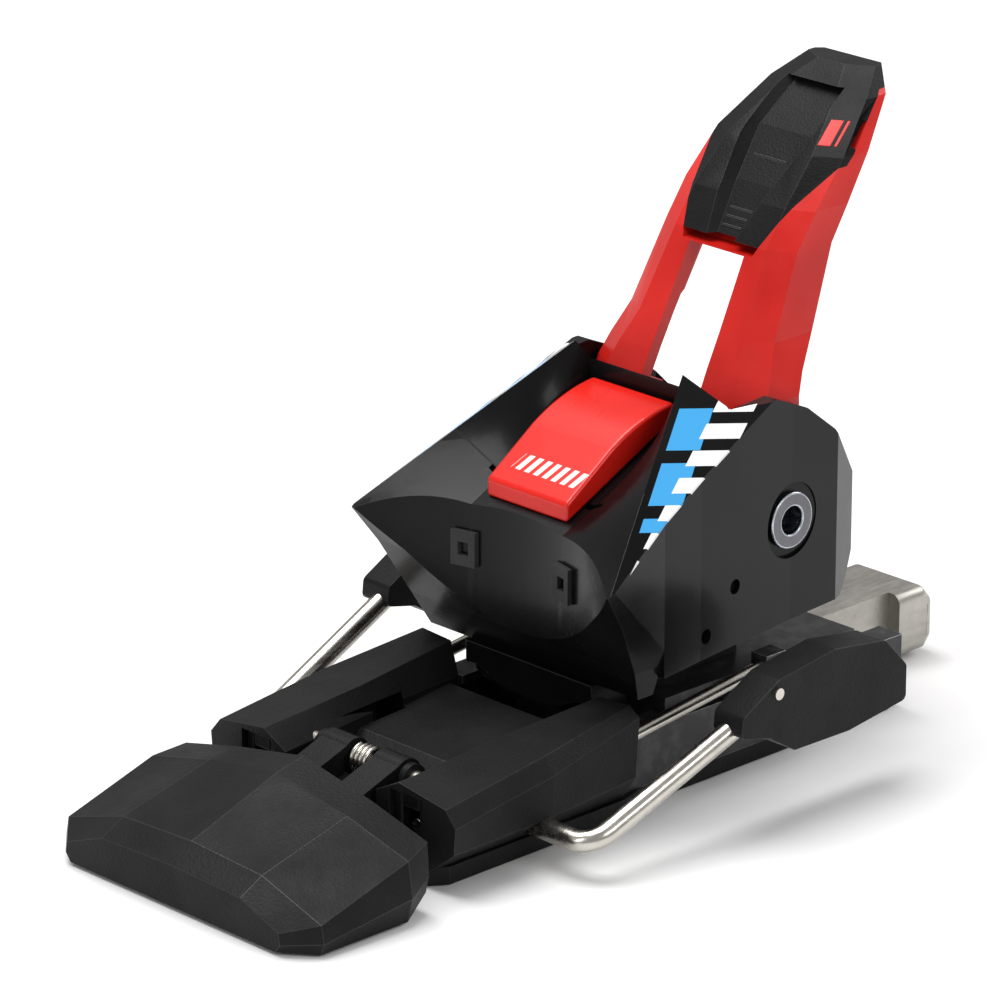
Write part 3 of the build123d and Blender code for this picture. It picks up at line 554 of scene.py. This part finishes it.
# red window in the grip's left front corner, on the sloping face between two heights of the head
CORNER_LOW = (Vector((-36.5, 12.8, 128)), Vector((-40.0, 18.8, 128)))
CORNER_HIGH = (Vector((-48.5, 8.3, 138)), Vector((-52.0, 14.3, 138)))
WINDOW_SHARES = ((0.03, 0.18), (0.45, 0.18), (0.58, 0.62), (0.16, 0.62))   # across and up the corner
LINE_SHARES = ((0.56, 0.18), (0.66, 0.18), (0.79, 0.62), (0.69, 0.62))
WINDOW_T = 0.9
WINDOW_PROUD = 0.1
across_corner = CORNER_LOW[1] - CORNER_LOW[0]
up_corner = CORNER_HIGH[0] - CORNER_LOW[0]
corner_normal = across_corner.cross(up_corner).normalized()
plates = []
for shares in (WINDOW_SHARES, LINE_SHARES):
    corners = []
    for across, up_share in shares:
        low = CORNER_LOW[0].lerp(CORNER_LOW[1], across)
        high = CORNER_HIGH[0].lerp(CORNER_HIGH[1], across)
        corners.append(low.lerp(high, up_share) + corner_normal * WINDOW_PROUD)
    inner = [corner - corner_normal * WINDOW_T for corner in corners]
    plates.append(between_rings(corners, inner))
small_part(joined(plates), "grip_window", "lever", "red_paint", 0.12, 30)

# ---------------------------------------------------------------- CAD nodes shown as they are
for node, obj in frame["nodes"].items():
    if obj.hide_render:
        continue
    obj.data.materials.clear()
    obj.data.materials.append(MATERIALS[SLOT_OF[node]])
    obj.data.shade_smooth()
    obj.data.set_sharp_from_angle(angle=math.radians(SMOOTH_ANGLE))

# ---------------------------------------------------------------- stage, lights, camera
FLOOR_HALF = 4.0
FLOOR_GAP = 0.0002
floor_bm = bmesh.new()
bmesh.ops.create_grid(floor_bm, x_segments=8, y_segments=8, size=FLOOR_HALF)
bmesh.ops.translate(floor_bm, verts=floor_bm.verts, vec=(0, 0, cad_box[0].z - FLOOR_GAP))
floor_shader = Shader("pale_floor")
floor_tone = floor_shader.ranged(floor_shader.noise(6.0), 0.3, 0.7, 0.0, 1.0)
floor_colour = floor_shader.mix(floor_tone, (0.90, 0.90, 0.90), (0.93, 0.93, 0.93))
floor_shader.link(floor_colour, floor_shader.bsdf.inputs["Base Color"])
floor_shader.bsdf.inputs["Roughness"].default_value = 0.75
floor = to_object(floor_bm, "floor", floor_shader.material)

world = bpy.data.worlds.new("studio")
bpy.context.scene.world = world
world.use_nodes = True
world.node_tree.nodes["Background"].inputs["Color"].default_value = (1.0, 1.0, 1.0, 1)
world.node_tree.nodes["Background"].inputs["Strength"].default_value = 0.42


def area_light(name, place, target, size, power):
    """Rectangular lamp at a place, turned to a target."""
    data = bpy.data.lights.new(name, "AREA")
    data.shape = "RECTANGLE"
    data.size, data.size_y = size
    data.energy = power
    lamp = bpy.data.objects.new(name, data)
    bpy.context.scene.collection.objects.link(lamp)
    lamp.location = place
    lamp.rotation_mode = "QUATERNION"
    lamp.rotation_quaternion = (Vector(target) - Vector(place)).to_track_quat("-Z", "Y")


CENTRE = (cad_box[0] + cad_box[1]) / 2
area_light("key", (0.10, -0.35, 1.20), CENTRE, (0.9, 0.9), 15)
area_light("fill", (0.10, 1.10, 0.75), CENTRE, (0.7, 0.3), 3.0)
area_light("front", (1.15, -0.10, 0.60), CENTRE, (0.3, 0.6), 2.0)
area_light("back", (-0.90, 0.20, 0.60), CENTRE, (0.5, 0.5), 3.0)

camera_data = bpy.data.cameras.new("camera")
camera_data.sensor_width = 36.0
camera_data.lens = 217.04
camera_data.clip_start = 0.05
camera_data.clip_end = 20.0
camera = bpy.data.objects.new("camera", camera_data)
bpy.context.scene.collection.objects.link(camera)
right = Vector((-0.71788, 0.69618, 0.0)).normalized()
up = Vector((-0.23777, -0.24519, 0.93987)).normalized()
back = right.cross(up).normalized()
camera.matrix_world = Matrix.Translation((0.88578, 0.86662, 0.50466)) @ Matrix(
    (right, up, back)
).transposed().to_4x4()
bpy.context.scene.camera = camera
bpy.context.scene.view_settings.view_transform = "Standard"
